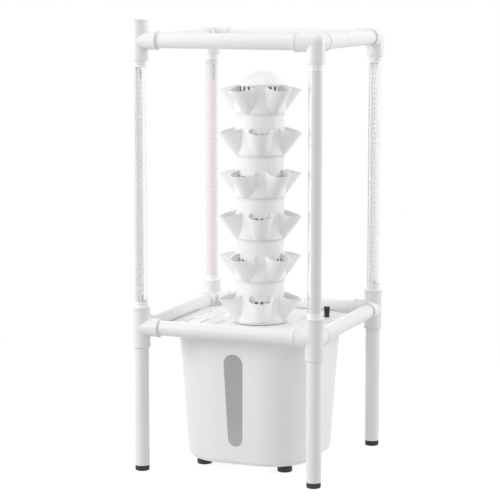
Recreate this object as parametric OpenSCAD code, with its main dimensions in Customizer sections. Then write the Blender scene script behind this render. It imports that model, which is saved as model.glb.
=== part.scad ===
// Hydroponic growing tower: a stack of planting layers on a water tank, inside a frame of
// white plastic pipe whose upper posts are four lamp tubes.
// Millimetres, +Z up, origin on the floor under the middle of the tower, front face towards -Y.

/* [Frame] */
// Distance between neighbouring post axes
post_pitch = 390; // [376:1:440]
// Outside diameter of the frame pipe
pipe_od = 32; // [30:0.5:34]
// Wall of the frame pipe
pipe_wall = 2.4; // [1.8:0.1:3]
// Height of the lower ring's pipe axis above the floor
lower_ring_z = 312; // [300:1:350]
// Rise from the lower ring's axis to the upper ring's axis
ring_rise = 605; // [595:1:700]

/* [Pipe fittings] */
// Wall of a fitting around its sockets
fitting_wall = 3.2; // [2.6:0.1:4]
// Length of a fitting's arm from the crossing of the axes
arm_len = 43; // [40:0.5:50]
// Depth of a socket
socket_depth = 24; // [18:0.5:24]
// Width of the bead round an arm's mouth
bead_w = 3.4; // [2:0.1:5]
// Height of that bead over the arm
bead_rise = 0.9; // [0.4:0.1:1.5]

/* [Leg feet] */
// Height of a foot below the pipe's end
leg_foot_h = 12; // [8:0.5:16]
// Diameter of a foot
leg_foot_d = 30.4; // [28.5:0.1:32]
// Length of the plug inside the pipe
leg_plug_h = 18; // [10:1:30]
// Grip flutes round a foot
leg_foot_flutes = 20; // [12:1:28]

/* [Lamp tubes] */
// Outside diameter of a lamp's tube
lamp_od = 28.6; // [27:0.1:29.2]
// Wall of the clear cover and of the back housing
lamp_wall = 1.2; // [0.9:0.1:1.6]
// Outside diameter of the end caps
cap_od = 30; // [29.6:0.1:31]
// Length of the upper cap outside its socket
cap_show_top = 12; // [8:0.5:20]
// Length of the lower cap outside its socket
cap_show_bottom = 12; // [8:0.5:24]
// Depth of the tube's seat in a cap
cap_seat = 6; // [4:0.5:8]
// Width of the board with the lamp chips
board_w = 13.5; // [10:0.5:18]
// Thickness of that board
board_t = 1.6; // [1:0.1:2]
// Turn of the front left lamp from the right, in degrees
aim_front_left = -10; // [-180:5:180]
// Turn of the front right lamp from the right, in degrees
aim_front_right = 160; // [-180:5:180]
// Turn of the back right lamp from the right, in degrees
aim_back_right = -30; // [-180:5:180]
// Turn of the back left lamp from the right, in degrees
aim_back_left = -70; // [-180:5:180]

/* [Tank] */
// Half the width of the tank under its rim
tank_top_half = 162; // [156:1:166]
// Half the width of the tank at its bottom
tank_bottom_half = 142; // [136:1:148]
// Half the length of the flat part of each side
tank_flat_half = 45; // [40:1:52]
// Wall of the tank
tank_wall = 2.6; // [2:0.1:3.5]
// Fillet round the tank's bottom
tank_fillet = 13; // [8:0.5:16]
// Thickness of the tank's rim
rim_t = 3.6; // [2.5:0.1:5]
// Corner radius of the rim
rim_corner_r = 100; // [80:1:110]
// Height of the tank's feet
tank_foot_h = 15; // [10:0.5:20]
// Diameter of the tank's feet
tank_foot_d = 32; // [26:0.5:34]
// Distance between the tank's feet
tank_foot_pitch = 186; // [170:1:190]

/* [Sight window] */
// Width of the window at its upper end
window_top_w = 43; // [36:0.5:50]
// Width of the window at its lower end
window_bottom_w = 33; // [26:0.5:40]
// Height of the window's upper end above the floor
window_top_z = 259; // [240:1:270]
// Height of the window's lower end above the floor
window_bottom_z = 57; // [50:1:80]
// Lap of the window's flange behind the wall
window_lap = 4; // [3:0.5:6]
// Thickness of that flange
window_flange_t = 1.6; // [1:0.1:2.5]

/* [Lid] */
// Distance from the ring's axis down to the lid's top
lid_drop = 8; // [6:0.5:9]
// Thickness of the lid
lid_t = 3.2; // [2.5:0.1:4]
// Corner radius of the lid
lid_corner_r = 93; // [75:1:104]
// Depth of the drain cup under the tower
cup_depth = 16; // [15:0.5:22]
// Drain holes in the cup's floor
drain_count = 12; // [6:1:16]
// Diameter of a drain hole
drain_d = 9; // [5:0.5:11]
// Length of the grooves moulded in the lid
groove_len = 60; // [40:1:66]
// Width of a groove
groove_w = 8; // [4:0.5:10]
// Depth of a groove
groove_depth = 1.4; // [0.6:0.1:2]
// Distance between neighbouring grooves
groove_pitch = 35.5; // [28:0.5:36]
// Distance from the middle to the first groove
groove_first = 76; // [70:0.5:78]
// Distance from the middle to the middle of a row of grooves
groove_row = 44; // [40:0.5:50]

/* [Filling bung] */
// Place of the filling hole to the right of the middle
bung_x = 119; // [100:1:126]
// Place of the filling hole behind the middle
bung_y = 100; // [94:1:108]
// Diameter of the bung's top
bung_top_d = 13.6; // [12:0.1:18]
// Diameter of the bung where it meets the lid
bung_neck_d = 11; // [9:0.1:12]
// Height of the bung above the lid
bung_h = 23; // [15:0.5:30]
// Length of the bung below the lid's top
bung_plug_h = 12; // [8:0.5:20]

/* [Planting layers] */
// Radius of a layer's barrel
barrel_r = 52.5; // [50:0.5:54]
// Wall of a layer
layer_wall = 2.1; // [1.8:0.1:2.4]
// Distance from one layer to the next
layer_pitch = 90.3; // [88:0.1:96]
// Height of a layer's flared part
flare_h = 58; // [54:0.5:62]
// Depth to which a layer's barrel enters the layer below
spigot_depth = 24; // [20:0.5:28]
// Pods round a layer
pod_count = 5; // [4:1:5]
// Lean of a pod's outer line from the vertical, in degrees
pod_lean = 38; // [32:0.5:40]
// Half angle of a pod's cone, in degrees
pod_taper = 8; // [6:0.5:10]
// Radius of a pod's cone at the top of the flare
pod_mouth_r = 28; // [24:0.5:29]
// Fall of the pods' lips from the webs outwards, in degrees
rim_fall = 16; // [8:0.5:22]
// Turn of the stack from the front towards the right, in degrees
tower_turn = 21.5; // [0:0.5:36]
// Height of the base under the lowest layer, with its flange
base_flange_h = 4.4; // [3:0.1:7]
// Width of that flange round the flare
base_flange_w = 3.5; // [1.5:0.1:5]
// Height of the narrower foot under that flange
base_foot_h = 1.2; // [0.6:0.1:1.6]
// Drip notches in the lower edge of a barrel
notch_count = 28; // [16:2:28]
// Width of a drip notch
notch_w = 6.5; // [3:0.5:7]
// Height of a drip notch
notch_h = 12; // [4:0.5:14]
// Diameter of the drip holes in a layer's floor
drip_d = 6; // [3:0.5:8]

/* [Dome cap] */
// Width of the dome's lip past the barrel
dome_lip = 3; // [1.5:0.1:4]
// Height of the dome
dome_h = 31; // [24:0.5:38]
// Depth of the dome's skirt in the top layer
dome_skirt = 22; // [20:0.5:24]
// Height of the notches in that skirt
dome_notch_h = 20; // [10:0.5:20]

/* [Water system] */
// Outside diameter of the riser pipe
riser_od = 16; // [14:0.5:18]
// Wall of the riser pipe
riser_wall = 2; // [1.5:0.1:2.5]
// Diameter of the water spreader
spreader_d = 46; // [36:1:60]
// Height of the water spreader
spreader_h = 12; // [10:0.5:16]
// Length of the pump's motor block
pump_len = 46; // [40:1:60]
// Width of the pump
pump_w = 42; // [38:1:50]
// Height of the pump
pump_h = 46; // [42:1:56]
// Thickness of the pump's intake cover
pump_cover_t = 8; // [6:0.5:10]
// Radius of the pump's impeller
impeller_r = 12; // [9:0.5:13]

/* [Clearances] */
// Gap under a piece that is lifted off or turned on its seat
seat_gap = 0.3; // [0.2:0.05:0.5]
// Gap round a lamp cap in its socket
lamp_fit = 0.3; // [0.2:0.05:0.4]
// Gap round a barrel in the layer below
layer_fit = 0.4; // [0.3:0.05:0.6]
// Gap between the ring's rails and the tank's rim or the lid
ring_fit = 0.5; // [0.3:0.05:1]
// Gap between the lid's rib and the tank's wall
rib_fit = 0.5; // [0.3:0.1:1]
// Gap round a turning shaft
shaft_fit = 0.08; // [0.05:0.01:0.1]

/* [Hidden] */
$fn = 64;

// A small overlap for cuts that leave through a face
cut = 1;

// A worked-out size, cut down to a tenth of a millimetre
function tenth(size) = floor(10 * size) / 10;

// Frame: corner signs, pipe radii and heights
front_left = [-1, -1];
front_right = [1, -1];
back_right = [1, 1];
back_left = [-1, 1];
corners = [front_left, front_right, back_right, back_left];
post_half = post_pitch / 2;
pipe_r = pipe_od / 2;
pipe_bore_r = pipe_r - pipe_wall;
arm_r = pipe_r + fitting_wall;
upper_ring_z = lower_ring_z + ring_rise;
socket_floor = arm_len - socket_depth;
cap_r = cap_od / 2;
lamp_socket_r = cap_r + lamp_fit;
up = [0, 0, 1];
down = [0, 0, -1];

// Lamps: ends of the caps and of the tube, and the board's ledge
lamp_bottom_z = lower_ring_z + socket_floor + seat_gap;
lamp_top_z = upper_ring_z - socket_floor - seat_gap;
cap_bottom_len = socket_depth - seat_gap + cap_show_bottom;
cap_top_len = socket_depth - seat_gap + cap_show_top;
tube_bottom_z = lamp_bottom_z + cap_bottom_len - cap_seat;
tube_top_z = lamp_top_z - cap_top_len + cap_seat;
lamp_r = lamp_od / 2;
board_ledge = 1.6;
cap_groove = 1;
lead_hole_r = 3;

// Tank and lid: levels and outlines
lid_top_z = lower_ring_z - lid_drop;
lid_bottom_z = lid_top_z - lid_t;
rim_top_z = lid_bottom_z - seat_gap;
rim_bottom_z = rim_top_z - rim_t;
tank_floor_z = tank_foot_h + tank_wall;
tank_lean = atan((tank_top_half - tank_bottom_half) / (rim_bottom_z - tank_foot_h));
rim_half = tenth(post_half - sqrt(pow(pipe_r, 2) - pow(lower_ring_z - rim_top_z, 2)) - ring_fit);
lid_half = post_half - pipe_r - ring_fit;
lid_rib_h = 9;
lid_rib_t = 2.4;
cup_r = barrel_r - layer_wall;
cup_wall = 2.4;
cup_floor_z = lid_top_z - cup_depth;
cup_under_z = cup_floor_z - cup_wall;
collar_t = 3;
riser_collar_h = 10;
groove_columns = 3;
bung_shoulder = 1;
bung_plug_r = bung_neck_d / 2 - bung_shoulder;

// Planting layers: radii, heights and the cone of a pod
core_r = barrel_r + layer_fit + layer_wall;
core_bore_r = barrel_r + layer_fit;
barrel_bore_r = barrel_r - layer_wall;
barrel_drop = layer_pitch - flare_h;
first_layer_z = lid_top_z + seat_gap + base_flange_h;
layer_count = 6;
ledge_w = 3;
pod_step = 360 / pod_count;
pod_tilt = pod_lean - pod_taper;
pod_foot_z = -2;
pod_apex_z = flare_h - pod_mouth_r * cos(pod_tilt) / tan(pod_taper);
pod_apex_x = core_r - (pod_foot_z - pod_apex_z) * tan(pod_lean);
base_spigot_h = 10;
drip_ring_r = 34;
riser_r = riser_od / 2;
riser_gap = 2;

// Dome and water system
top_layer_z = first_layer_z + (layer_count - 1) * layer_pitch;
dome_z = top_layer_z + flare_h + seat_gap;
dome_rim_h = 3;
dome_r = barrel_r + dome_lip;
dome_sphere_r = (pow(dome_r, 2) + pow(dome_h - dome_rim_h, 2)) / (2 * (dome_h - dome_rim_h));
pump_z = tank_floor_z + seat_gap;
pump_front_x = 10;
impeller_gap = 2;
chamber_r = impeller_r + impeller_gap;
chamber_depth = 18;
pump_axis_z = pump_z + pump_h / 2;
pump_top_z = pump_z + pump_h;
nipple_h = 14;
shaft_r = 1.5;
bearing_depth = 6;
spreader_drop = 2;
spreader_z = dome_z - spreader_drop - spreader_h;
riser_top_z = spreader_z + spreader_h / 2;

// Turns local +Z to a direction along an axis
module aim(direction) {
    tilt = acos(direction[2]);
    turn = atan2(direction[1], direction[0]);
    rotate([0, tilt, turn]) children();
}

module ring(outer_r, inner_r, height) {
    difference() {
        cylinder(r = outer_r, h = height);
        translate([0, 0, -cut]) cylinder(r = inner_r, h = height + 2 * cut);
    }
}

// A straight slot with round ends, drawn flat, along Y
module slot_outline(length, width) {
    straight = length - width;
    square([width, straight], center = true);
    for (side = [-1, 1]) translate([0, side * straight / 2]) circle(d = width);
}

// A square with round corners, drawn flat
module rounded_square(half, corner_r) {
    inner = half - corner_r;
    square([2 * half, 2 * inner], center = true);
    square([2 * inner, 2 * half], center = true);
    for (corner = corners) translate(inner * corner) circle(r = corner_r);
}

// A pipe of the frame between two points of an axis through the point at
module pipe(at, direction, start, end) {
    color("white") translate(at) aim(direction) translate([0, 0, start]) {
        ring(pipe_r, pipe_bore_r, end - start);
    }
}

// A moulded fitting: arms with beads round a hollow middle. The lamp arm has the lamp's socket.
module fitting(at, pipe_arms, lamp_arm) {
    arms = concat(pipe_arms, [lamp_arm]);
    color("white") translate(at) difference() {
        union() {
            sphere(r = arm_r);
            for (direction = arms) aim(direction) {
                cylinder(r = arm_r, h = arm_len);
                translate([0, 0, arm_len - bead_w]) cylinder(r = arm_r + bead_rise, h = bead_w);
            }
        }
        for (direction = arms) aim(direction) cylinder(r = pipe_bore_r, h = arm_len);
        for (direction = pipe_arms) aim(direction) translate([0, 0, socket_floor]) {
            cylinder(r = pipe_r, h = socket_depth + cut);
        }
        aim(lamp_arm) translate([0, 0, socket_floor]) cylinder(r = lamp_socket_r, h = socket_depth + cut);
    }
}

function ring_point(corner, z) = [corner[0] * post_half, corner[1] * post_half, z];
function inward_x(corner) = [-corner[0], 0, 0];
function inward_y(corner) = [0, -corner[1], 0];

module leg(corner) {
    pipe(ring_point(corner, 0), up, leg_foot_h, lower_ring_z - socket_floor);
}

module lower_cross(corner) {
    fitting(ring_point(corner, lower_ring_z), [down, inward_x(corner), inward_y(corner)], up);
}

module upper_elbow(corner) {
    fitting(ring_point(corner, upper_ring_z), [inward_x(corner), inward_y(corner)], down);
}

module upper_cross(corner) {
    fitting(ring_point(corner, upper_ring_z), [up, inward_x(corner), inward_y(corner)], down);
}

module rail_x(side, z) {
    reach = post_half - socket_floor;
    pipe([0, side * post_half, z], [1, 0, 0], -reach, reach);
}

module rail_y(side, z) {
    reach = post_half - socket_floor;
    pipe([side * post_half, 0, z], [0, 1, 0], -reach, reach);
}

// A round foot standing on the floor, with a rounded lower edge
module foot_form(foot_r, height, edge) {
    rotate_extrude() {
        translate([0, edge]) square([foot_r, height - edge]);
        square([foot_r - edge, edge]);
        translate([foot_r - edge, edge]) circle(r = edge);
    }
}

// Push-in feet: a fluted foot, and a plug in the pipe
module leg_feet() {
    edge = 2.5;
    foot_r = leg_foot_d / 2;
    flute_r = 1.1;
    flute_z = edge + flute_r;
    flute_h = leg_foot_h - flute_z - flute_r;
    color([0.09, 0.09, 0.1]) for (corner = corners) translate(ring_point(corner, 0)) difference() {
        union() {
            foot_form(foot_r, leg_foot_h, edge);
            translate([0, 0, leg_foot_h]) cylinder(r = pipe_bore_r, h = leg_plug_h);
        }
        for (i = [0 : leg_foot_flutes - 1]) rotate([0, 0, i * 360 / leg_foot_flutes]) {
            translate([foot_r + flute_r / 2, 0, flute_z]) cylinder(r = flute_r, h = flute_h);
        }
    }
}

// Stands a piece of a lamp in its post, turned to its aim
module at_lamp(corner, aim_angle) {
    translate(ring_point(corner, 0)) rotate([0, 0, aim_angle]) children();
}

module tube_outline() {
    difference() {
        circle(r = lamp_r);
        circle(r = lamp_r - lamp_wall);
    }
}

// The clear front of a lamp's tube, in front of the board's ledge
module lamp_cover(corner, aim_angle) {
    color([0.9, 0.93, 0.95, 0.4]) at_lamp(corner, aim_angle) translate([0, 0, tube_bottom_z]) {
        linear_extrude(tube_top_z - tube_bottom_z) difference() {
            tube_outline();
            translate([-board_ledge - lamp_od, -lamp_od]) square([lamp_od, 2 * lamp_od]);
        }
    }
}

// The opaque back of a lamp's tube, with the flat ledge that carries the board
module lamp_housing(corner, aim_angle) {
    color([0.88, 0.88, 0.9]) at_lamp(corner, aim_angle) translate([0, 0, tube_bottom_z]) {
        linear_extrude(tube_top_z - tube_bottom_z) difference() {
            circle(r = lamp_r);
            difference() {
                circle(r = lamp_r - lamp_wall);
                translate([-board_ledge - lamp_wall, -lamp_od]) square([lamp_wall, 2 * lamp_od]);
            }
            translate([-board_ledge, -lamp_od]) square([lamp_od, 2 * lamp_od]);
        }
    }
}

// The board that carries the lamp chips, on the housing's ledge
module lamp_board(corner, aim_angle) {
    color([0.93, 0.72, 0.76]) at_lamp(corner, aim_angle) {
        translate([-board_ledge, -board_w / 2, tube_bottom_z]) {
            cube([board_t, board_w, tube_top_z - tube_bottom_z]);
        }
    }
}

// One cap, standing on its closed end: a cup for the tube's end, with a groove and a lead hole
module lamp_cap(length, show) {
    difference() {
        cylinder(r = cap_r, h = length);
        translate([0, 0, length - cap_seat]) cylinder(r = lamp_r, h = cap_seat + cut);
        translate([0, 0, -cut]) cylinder(r = lead_hole_r, h = length);
        translate([0, 0, length - show / 2]) difference() {
            cylinder(r = cap_r + cut, h = cap_groove);
            translate([0, 0, -cut]) cylinder(r = cap_r - cap_groove / 2, h = cap_groove + 2 * cut);
        }
    }
}

module lamp_caps(corner, aim_angle) {
    color([0.94, 0.94, 0.95]) at_lamp(corner, aim_angle) {
        translate([0, 0, lamp_bottom_z]) lamp_cap(cap_bottom_len, cap_show_bottom);
        translate([0, 0, lamp_top_z]) mirror([0, 0, 1]) lamp_cap(cap_top_len, cap_show_top);
    }
}

// Half section of the tank from the flat's end outwards, with the bottom fillet.
// The inset moves the side, the bottom and the fillet inwards by a wall.
module tank_section(inset, top_z) {
    bottom_z = tank_foot_h + inset;
    fillet = tank_fillet - inset;
    bottom_r = tank_bottom_half - tank_flat_half - inset + inset * tan(tank_lean);
    top_r = bottom_r + (top_z - bottom_z) * tan(tank_lean);
    fillet_x = bottom_r + fillet * tan(tank_lean) - fillet / cos(tank_lean);
    polygon([
        [0, bottom_z],
        [fillet_x, bottom_z],
        [fillet_x + fillet * cos(tank_lean), bottom_z + fillet * (1 - sin(tank_lean))],
        [top_r, top_z],
        [0, top_z]
    ]);
    translate([fillet_x, bottom_z + fillet]) circle(r = fillet);
}

// The whole tapered form: four round corners, a long middle slab and two side slabs
module tank_form(inset, top_z) {
    for (quarter = [0 : 3]) rotate([0, 0, quarter * 90]) {
        translate([tank_flat_half, tank_flat_half, 0]) {
            rotate_extrude(angle = 90) tank_section(inset, top_z);
        }
        translate([tank_flat_half, tank_flat_half, 0]) rotate([90, 0, 0]) {
            linear_extrude(2 * tank_flat_half) tank_section(inset, top_z);
        }
    }
    translate([-tank_flat_half, -tank_flat_half, tank_foot_h + inset]) {
        cube([2 * tank_flat_half, 2 * tank_flat_half, top_z - tank_foot_h - inset]);
    }
}

// Outline of the window: two circles of different size, joined from side to side
module window_outline(lap) {
    top_r = window_top_w / 2 + lap;
    bottom_r = window_bottom_w / 2 + lap;
    rise = tenth((window_top_z - window_bottom_z) / cos(tank_lean));
    top_y = rise / 2 + lap - top_r;
    bottom_y = -rise / 2 - lap + bottom_r;
    translate([0, top_y]) circle(r = top_r);
    translate([0, bottom_y]) circle(r = bottom_r);
    polygon([[-top_r, top_y], [top_r, top_y], [bottom_r, bottom_y], [-bottom_r, bottom_y]]);
}

// Places the window's outline on the leaning front wall, with local +Z out of the tank
module at_window() {
    middle_z = (window_top_z + window_bottom_z) / 2;
    face = tank_bottom_half + (middle_z - tank_foot_h) * tan(tank_lean);
    translate([0, -face, middle_z]) rotate([90 + tank_lean, 0, 0]) children();
}

module tank_body() {
    wall_n = tank_wall * cos(tank_lean);
    color([0.95, 0.95, 0.95]) difference() {
        union() {
            tank_form(0, rim_top_z);
            translate([0, 0, rim_bottom_z]) linear_extrude(rim_t) rounded_square(rim_half, rim_corner_r);
        }
        tank_form(tank_wall, rim_top_z + cut);
        at_window() translate([0, 0, -wall_n - cut]) linear_extrude(wall_n + 2 * cut) window_outline(0);
    }
}

// Grey see-through strip: a plug in the wall's opening and a flange behind the wall
module sight_window() {
    wall_n = tank_wall * cos(tank_lean);
    color([0.65, 0.66, 0.67, 0.8]) at_window() {
        plug_t = wall_n + window_flange_t / 2;
        translate([0, 0, -plug_t]) linear_extrude(plug_t) window_outline(0);
        translate([0, 0, -wall_n - window_flange_t]) linear_extrude(window_flange_t) {
            window_outline(window_lap);
        }
    }
}

module tank_feet() {
    edge = 2;
    foot_r = tank_foot_d / 2;
    color([0.07, 0.07, 0.07]) for (corner = corners) translate(tank_foot_pitch / 2 * corner) {
        foot_form(foot_r, tank_foot_h, edge);
    }
}

// Flat lid: a locating rib in the tank's mouth, a drain cup under the tower with the riser's
// collar, grooves and the filling hole
module tank_lid() {
    rib_half = tenth(tank_top_half - tank_wall - rib_fit - lid_rib_h * tan(tank_lean));
    rib_corner_r = rib_half - tank_flat_half;
    color([0.96, 0.96, 0.96]) difference() {
        union() {
            translate([0, 0, lid_bottom_z]) linear_extrude(lid_t) rounded_square(lid_half, lid_corner_r);
            translate([0, 0, lid_bottom_z - lid_rib_h]) linear_extrude(lid_rib_h) difference() {
                rounded_square(rib_half, rib_corner_r);
                rounded_square(rib_half - lid_rib_t, rib_corner_r - lid_rib_t);
            }
            translate([0, 0, cup_under_z]) cylinder(r = cup_r + layer_fit + cup_wall, h = cup_depth);
        }
        translate([0, 0, cup_floor_z]) cylinder(r = cup_r + layer_fit, h = cup_depth + cut);
        for (i = [0 : drain_count - 1]) rotate([0, 0, i * 360 / drain_count]) {
            translate([drip_ring_r, 0, cup_under_z - cut]) cylinder(d = drain_d, h = cup_wall + 2 * cut);
        }
        for (side = [-1, 1], row = [-1, 1], column = [0 : groove_columns - 1]) {
            groove_x = groove_first + column * groove_pitch;
            translate([side * groove_x, row * groove_row, lid_top_z - groove_depth]) {
                linear_extrude(groove_depth + cut) slot_outline(groove_len, groove_w);
            }
        }
        translate([bung_x, bung_y, lid_bottom_z - cut]) {
            cylinder(r = bung_plug_r + seat_gap, h = lid_t + 2 * cut);
        }
        translate([0, 0, cup_under_z - cut]) cylinder(r = riser_r, h = cup_wall + 2 * cut);
    }
    color([0.96, 0.96, 0.96]) translate([0, 0, cup_under_z]) {
        ring(riser_r + collar_t, riser_r, riser_collar_h);
    }
}

// Tapered bung that stands proud of the lid and plugs the filling hole
module filling_bung() {
    color([0.05, 0.05, 0.05]) translate([bung_x, bung_y, lid_top_z]) {
        translate([0, 0, seat_gap]) cylinder(d1 = bung_neck_d, d2 = bung_top_d, h = bung_h - seat_gap);
        translate([0, 0, -bung_plug_h]) cylinder(r = bung_plug_r, h = bung_plug_h + seat_gap);
    }
}

// A pod's cone, cut from a cone with its tip far below the layer; the inset is the wall
module pod_cone(inset) {
    low = (pod_foot_z - pod_mouth_r - pod_apex_z) / cos(pod_tilt);
    high = (flare_h + pod_mouth_r - pod_apex_z) / cos(pod_tilt);
    inset_r = inset / cos(pod_taper);
    translate([pod_apex_x, 0, pod_apex_z]) rotate([0, pod_tilt, 0]) translate([0, 0, low]) {
        cylinder(r1 = low * tan(pod_taper) - inset_r, r2 = high * tan(pod_taper) - inset_r, h = high - low);
    }
}

// The space that a flare may fill: level over the webs, then falling outwards over the pods
module flare_envelope(floor_z) {
    reach = core_r + flare_h;
    rotate_extrude() polygon([
        [0, floor_z],
        [reach, floor_z],
        [reach, flare_h - (reach - core_r) * tan(rim_fall)],
        [core_r, flare_h],
        [0, flare_h]
    ]);
}

// Square notches round the lower edge of a barrel, from the height z upwards
module drip_notches(z, height) {
    start = barrel_bore_r - 2 * cut;
    for (i = [0 : notch_count - 1]) rotate([0, 0, (i + 0.5) * 360 / notch_count]) {
        translate([start, -notch_w / 2, z - cut]) cube([core_r - start, notch_w, height + cut]);
    }
}

// One planting layer at its own height: a core with pods leaning out of it, a floor with drip
// holes, a ledge that carries the layer above, and a barrel or, on the lowest layer, a base flange
module planting_layer(index) {
    turn = -90 + tower_turn + (index % 2 == 0 ? pod_step / 2 : 0);
    ledge_z = flare_h - spigot_depth - layer_wall;
    base = index == 1;
    barrel_z = -barrel_drop - spigot_depth + seat_gap;
    bore_r = base ? cup_r - layer_wall : barrel_bore_r;
    layer_z = first_layer_z + (index - 1) * layer_pitch;
    color([0.97, 0.97, 0.97]) translate([0, 0, layer_z]) rotate([0, 0, turn]) {
        difference() {
            union() {
                cylinder(r = core_r, h = flare_h);
                intersection() {
                    for (i = [0 : pod_count - 1]) rotate([0, 0, i * pod_step]) pod_cone(0);
                    flare_envelope(0);
                }
                if (base) translate([0, 0, -base_flange_h]) {
                    translate([0, 0, base_foot_h]) {
                        cylinder(r = core_r + base_flange_w, h = base_flange_h - base_foot_h);
                    }
                    cylinder(r = core_r - base_foot_h, h = base_flange_h);
                    translate([0, 0, -base_spigot_h]) cylinder(r = cup_r, h = base_spigot_h + cut);
                }
                if (!base) translate([0, 0, barrel_z]) cylinder(r = barrel_r, h = -barrel_z);
            }
            difference() {
                translate([0, 0, layer_wall]) cylinder(r = core_bore_r, h = flare_h);
                translate([0, 0, ledge_z]) ring(core_r, core_bore_r - ledge_w, layer_wall);
            }
            intersection() {
                for (i = [0 : pod_count - 1]) rotate([0, 0, i * pod_step]) pod_cone(layer_wall);
                translate([0, 0, layer_wall]) cylinder(r = 2 * core_r + flare_h, h = 2 * flare_h);
            }
            translate([0, 0, -layer_pitch]) cylinder(r = bore_r, h = layer_pitch);
            translate([0, 0, -cut]) cylinder(r = riser_r + riser_gap, h = layer_wall + 2 * cut);
            for (i = [0 : 2 * pod_count - 1]) rotate([0, 0, i * pod_step / 2]) {
                translate([drip_ring_r, 0, -cut]) cylinder(d = drip_d, h = layer_wall + 2 * cut);
            }
            if (!base) drip_notches(barrel_z, notch_h);
        }
    }
}

// Dome shell on a notched skirt that drops into the top layer
module dome_cap() {
    centre_z = dome_h - dome_sphere_r;
    color([0.97, 0.97, 0.97]) translate([0, 0, dome_z]) difference() {
        union() {
            intersection() {
                translate([0, 0, centre_z]) sphere(r = dome_sphere_r);
                cylinder(r = dome_r, h = dome_h + cut);
            }
            translate([0, 0, -dome_skirt + seat_gap]) cylinder(r = barrel_r, h = dome_skirt);
        }
        intersection() {
            translate([0, 0, centre_z]) sphere(r = dome_sphere_r - layer_wall);
            cylinder(r = barrel_bore_r, h = dome_h);
        }
        translate([0, 0, -dome_skirt]) cylinder(r = barrel_bore_r, h = dome_skirt + cut);
        drip_notches(-dome_skirt + seat_gap, dome_notch_h);
    }
}

// Submersible pump: motor block with an impeller chamber open to the front and a nipple on top
module pump_housing() {
    corner_r = 5;
    corner_x = pump_len / 2 - corner_r;
    corner_y = pump_w / 2 - corner_r;
    color([0.12, 0.12, 0.13]) difference() {
        union() {
            translate([pump_front_x - pump_len / 2, 0, pump_z]) linear_extrude(pump_h) {
                square([pump_len, 2 * corner_y], center = true);
                square([2 * corner_x, pump_w], center = true);
                for (side_x = [-1, 1], side_y = [-1, 1]) {
                    translate([side_x * corner_x, side_y * corner_y]) circle(r = corner_r);
                }
            }
            translate([0, 0, pump_top_z]) cylinder(r = riser_r - riser_wall, h = nipple_h);
        }
        translate([pump_front_x - chamber_depth, 0, pump_axis_z]) rotate([0, 90, 0]) {
            cylinder(r = chamber_r, h = chamber_depth + cut);
        }
        translate([pump_front_x - chamber_depth - bearing_depth, 0, pump_axis_z]) rotate([0, 90, 0]) {
            cylinder(r = shaft_r + shaft_fit, h = bearing_depth + cut);
        }
        translate([0, 0, pump_axis_z]) cylinder(r = riser_r - 2 * riser_wall, h = pump_h + nipple_h);
    }
}

// Slotted cover over the impeller chamber
module pump_intake_cover() {
    slots = 5;
    slot_w = 3;
    slot_h = 8.5;
    slot_pitch = 6;
    color([0.16, 0.16, 0.17]) difference() {
        translate([pump_front_x, -pump_w / 2, pump_z]) cube([pump_cover_t, pump_w, pump_h]);
        for (i = [0 : slots - 1]) {
            slot_y = (i - (slots - 1) / 2) * slot_pitch - slot_w / 2;
            translate([pump_front_x - cut, slot_y, pump_axis_z - chamber_r]) {
                cube([pump_cover_t + 2 * cut, slot_w, slot_h]);
            }
        }
    }
}

// Impeller: a hub with vanes on a shaft that turns in the housing
module pump_impeller() {
    vanes = 4;
    vane_t = 2;
    hub_r = 4.5;
    gap = 1;
    length = chamber_depth - 2 * gap;
    start_x = pump_front_x - chamber_depth + gap;
    color([0.8, 0.82, 0.84]) translate([start_x, 0, pump_axis_z]) rotate([0, 90, 0]) {
        cylinder(r = hub_r, h = length);
        translate([0, 0, -gap - bearing_depth + gap / 2]) cylinder(r = shaft_r, h = bearing_depth + gap);
        for (i = [0 : vanes - 1]) rotate([0, 0, i * 360 / vanes]) {
            translate([0, -vane_t / 2, 0]) cube([impeller_r, vane_t, length]);
        }
    }
}

module riser_pipe() {
    color([0.9, 0.9, 0.92]) translate([0, 0, pump_top_z]) {
        ring(riser_r, riser_r - riser_wall, riser_top_z - pump_top_z);
    }
}

// Cap on the riser that throws the water outwards through a ring of holes
module water_spreader() {
    roof = 2.5;
    jets = 8;
    jet_d = 2.4;
    jet_drop = 2;
    color([0.9, 0.9, 0.92]) translate([0, 0, spreader_z]) difference() {
        union() {
            cylinder(r = riser_r + riser_wall, h = spreader_h);
            translate([0, 0, spreader_h - roof]) cylinder(d = spreader_d, h = roof);
        }
        translate([0, 0, -cut]) cylinder(r = riser_r, h = spreader_h / 2 + cut);
        cylinder(r = riser_r - riser_wall, h = spreader_h - roof);
        for (i = [0 : jets - 1]) rotate([0, 90, i * 360 / jets]) {
            translate([roof + jet_drop - spreader_h, 0, 0]) cylinder(d = jet_d, h = spreader_d);
        }
    }
}

leg(front_left);  // leg_front_left
leg(front_right);  // leg_front_right
leg(back_right);  // leg_back_right
leg(back_left);  // leg_back_left
leg_feet();
lower_cross(front_left);  // lower_cross_front_left
lower_cross(front_right);  // lower_cross_front_right
lower_cross(back_right);  // lower_cross_back_right
lower_cross(back_left);  // lower_cross_back_left
rail_x(-1, lower_ring_z);  // lower_rail_front
rail_y(1, lower_ring_z);  // lower_rail_right
rail_x(1, lower_ring_z);  // lower_rail_back
rail_y(-1, lower_ring_z);  // lower_rail_left
upper_cross(front_left);  // upper_cross_front_left
upper_elbow(front_right);  // upper_elbow_front_right
upper_elbow(back_right);  // upper_elbow_back_right
upper_elbow(back_left);  // upper_elbow_back_left
rail_x(-1, upper_ring_z);  // upper_rail_front
rail_y(1, upper_ring_z);  // upper_rail_right
rail_x(1, upper_ring_z);  // upper_rail_back
rail_y(-1, upper_ring_z);  // upper_rail_left
lamp_cover(front_left, aim_front_left);  // lamp_cover_front_left
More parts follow.
